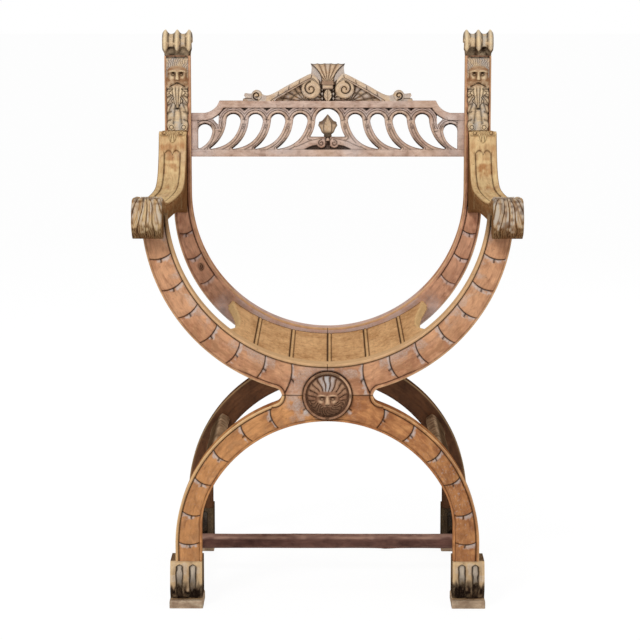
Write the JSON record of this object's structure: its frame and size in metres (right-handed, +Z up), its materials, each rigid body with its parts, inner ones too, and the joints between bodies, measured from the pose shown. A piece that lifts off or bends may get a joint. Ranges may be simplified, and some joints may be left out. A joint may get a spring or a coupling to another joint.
{
  "type": "savonarola chair",
  "caption": "Carved walnut X-frame armchair with a hollow slatted seat, scrolled arms, tall posts and a pierced back rail with a crest.",
  "frame": {"origin": "on the floor, under the middle of the chair's box", "axes": "+Z up, the chair faces -Y, +X is to the right seen from the front"},
  "size_m": [0.6744, 0.5475, 1.006],
  "materials": {
    "frame_walnut": "waxed walnut, reddish, with dark wax in the carving",
    "rear_leg_walnut": "dark waxed walnut, plain",
    "arm_walnut": "worn pale walnut",
    "seat_walnut": "worn olive walnut boards",
    "panel_walnut": "greyed walnut, moulded bars",
    "crest_walnut": "golden walnut, carved",
    "foot_walnut": "greyed walnut, dark at the base",
    "stretcher_walnut": "dark purplish walnut",
    "medallion_walnut": "dark carved walnut",
    "peg_wood": "plain turned hardwood"
  },
  "bodies": {
    "root": {"arm_dowels": "peg_wood", "arm_left": "arm_walnut", "arm_right": "arm_walnut", "back_panel": "panel_walnut", "crest_ground": "crest_walnut", "crest_scroll_left": "crest_walnut", "crest_scroll_right": "crest_walnut", "crest_shell": "crest_walnut", "cross_stretcher": "stretcher_walnut", "floor_side_rail_left": "stretcher_walnut", "floor_side_rail_right": "stretcher_walnut", "front_arc_left": "frame_walnut", "front_arc_right": "frame_walnut", "front_foot_left": "foot_walnut", "front_foot_pad_left": "foot_walnut", "front_foot_pad_right": "foot_walnut", "front_foot_right": "foot_walnut", "front_frame_dowels": "peg_wood", "front_leg_left": "frame_walnut", "front_leg_right": "frame_walnut", "leg_side_rail_left": "rear_leg_walnut", "leg_side_rail_right": "rear_leg_walnut", "mask_panel_left": "arm_walnut", "mask_panel_right": "arm_walnut", "medallion_dowel": "peg_wood", "medallion_ground": "medallion_walnut", "medallion_head": "medallion_walnut", "panel_bud": "crest_walnut", "panel_dowels": "peg_wood", "post_cap_dowels": "peg_wood", "post_cap_left": "arm_walnut", "post_cap_right": "arm_walnut", "rear_arc_left": "frame_walnut", "rear_arc_right": "frame_walnut", "rear_foot_left": "foot_walnut", "rear_foot_pad_left": "foot_walnut", "rear_foot_pad_right": "foot_walnut", "rear_foot_right": "foot_walnut", "rear_frame_dowels": "peg_wood", "rear_leg_left": "rear_leg_walnut", "rear_leg_right": "rear_leg_walnut", "seat_board_1_left": "seat_walnut", "seat_board_1_right": "seat_walnut", "seat_board_2_left": "seat_walnut", "seat_board_2_right": "seat_walnut", "seat_board_3_left": "seat_walnut", "seat_board_3_right": "seat_walnut"}
  },
  "joints": []
}
